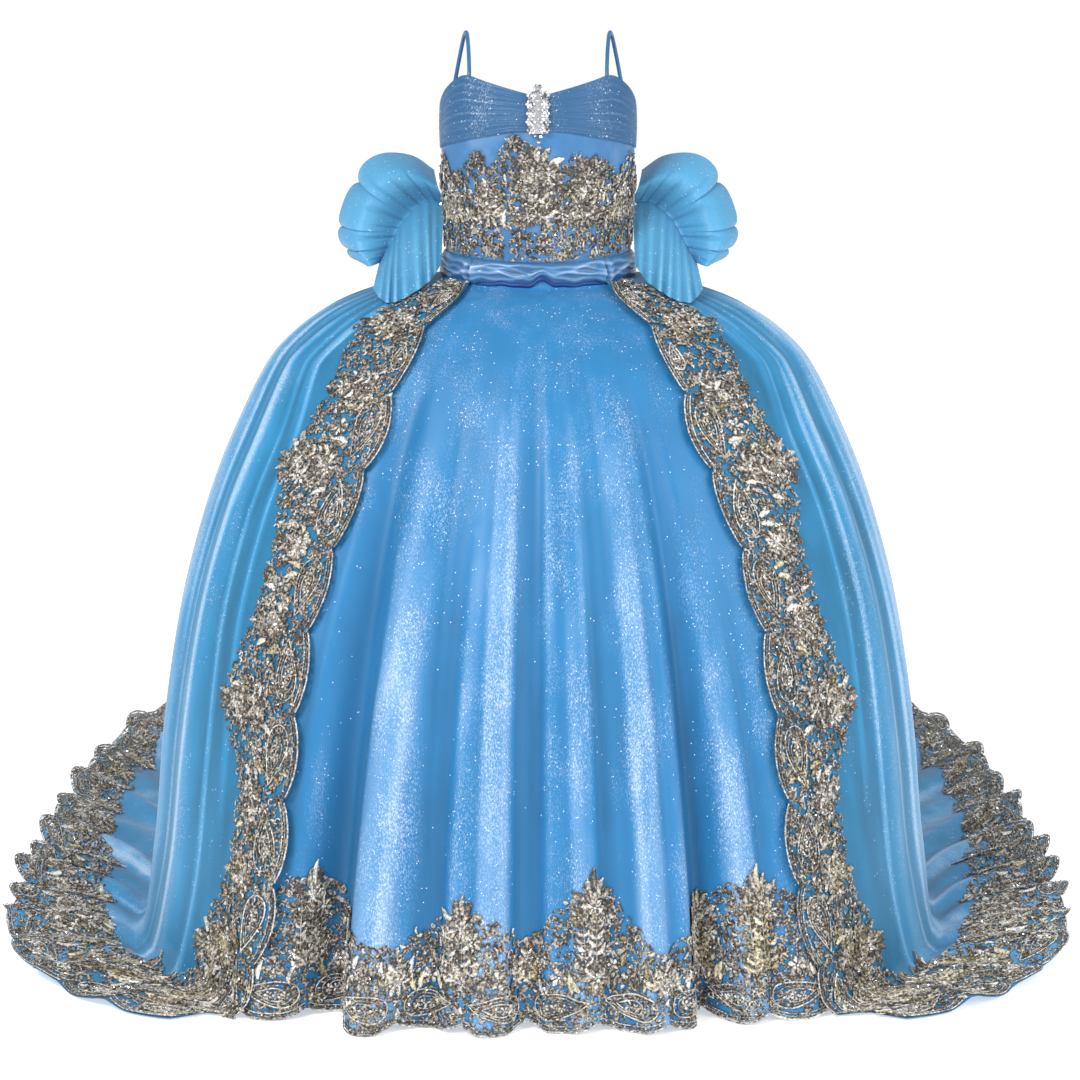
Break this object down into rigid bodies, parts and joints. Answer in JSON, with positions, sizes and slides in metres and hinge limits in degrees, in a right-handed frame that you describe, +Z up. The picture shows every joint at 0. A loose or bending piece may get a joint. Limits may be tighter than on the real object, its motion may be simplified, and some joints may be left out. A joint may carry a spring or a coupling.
{
  "type": "convertible dress",
  "caption": "Girl's pageant gown with strapped lace bodice, full glitter underskirt and a sheer open overskirt with lace-edged train and side bow",
  "frame": {"origin": "the middle of the waist opening, where the wearer's waist holds the gown up", "axes": "-Y is the gown's front, +Z points up to the shoulders, +X is the wearer's left side"},
  "size_m": [1.4562, 1.9735, 1.1799],
  "materials": {
    "glitter_tulle": "soft sheen with fine silver glitter",
    "sheer_organza": "translucent glitter organza",
    "bodice_satin": "satin",
    "pale_satin": "glossy satin",
    "corded_lace": "silver-gold corded lace with beads",
    "rhinestone": "faceted clear stones in silver settings"
  },
  "bodies": {
    "root": {"bodice_front": "bodice_satin", "bodice_back_left": "bodice_satin", "bodice_back_right": "bodice_satin", "bust_overlay_left": "glitter_tulle", "bust_overlay_right": "glitter_tulle", "strap_left": "bodice_satin", "strap_right": "bodice_satin", "brooch": "rhinestone", "bodice_lace_front": "corded_lace", "bodice_lace_back_left": "corded_lace", "bodice_lace_back_right": "corded_lace", "satin_waistband": "pale_satin", "underskirt_front": "glitter_tulle", "underskirt_side_left": "glitter_tulle", "underskirt_side_right": "glitter_tulle", "underskirt_back_left": "glitter_tulle", "underskirt_back_right": "glitter_tulle", "hem_lace_front": "corded_lace", "hem_lace_side_left": "corded_lace", "hem_lace_side_right": "corded_lace", "hem_lace_back_left": "corded_lace", "hem_lace_back_right": "corded_lace", "overskirt_front_left": "sheer_organza", "overskirt_front_right": "sheer_organza", "overskirt_side_left": "sheer_organza", "overskirt_side_right": "sheer_organza", "overskirt_back_left": "sheer_organza", "overskirt_back_right": "sheer_organza", "front_trim_left": "corded_lace", "front_trim_right": "corded_lace", "train_lace_left": "corded_lace", "train_lace_right": "corded_lace", "bow_fan_left": "sheer_organza", "bow_fan_right": "sheer_organza", "bow_tail_left": "sheer_organza", "bow_tail_right": "sheer_organza", "bow_band": "sheer_organza"}
  },
  "joints": []
}
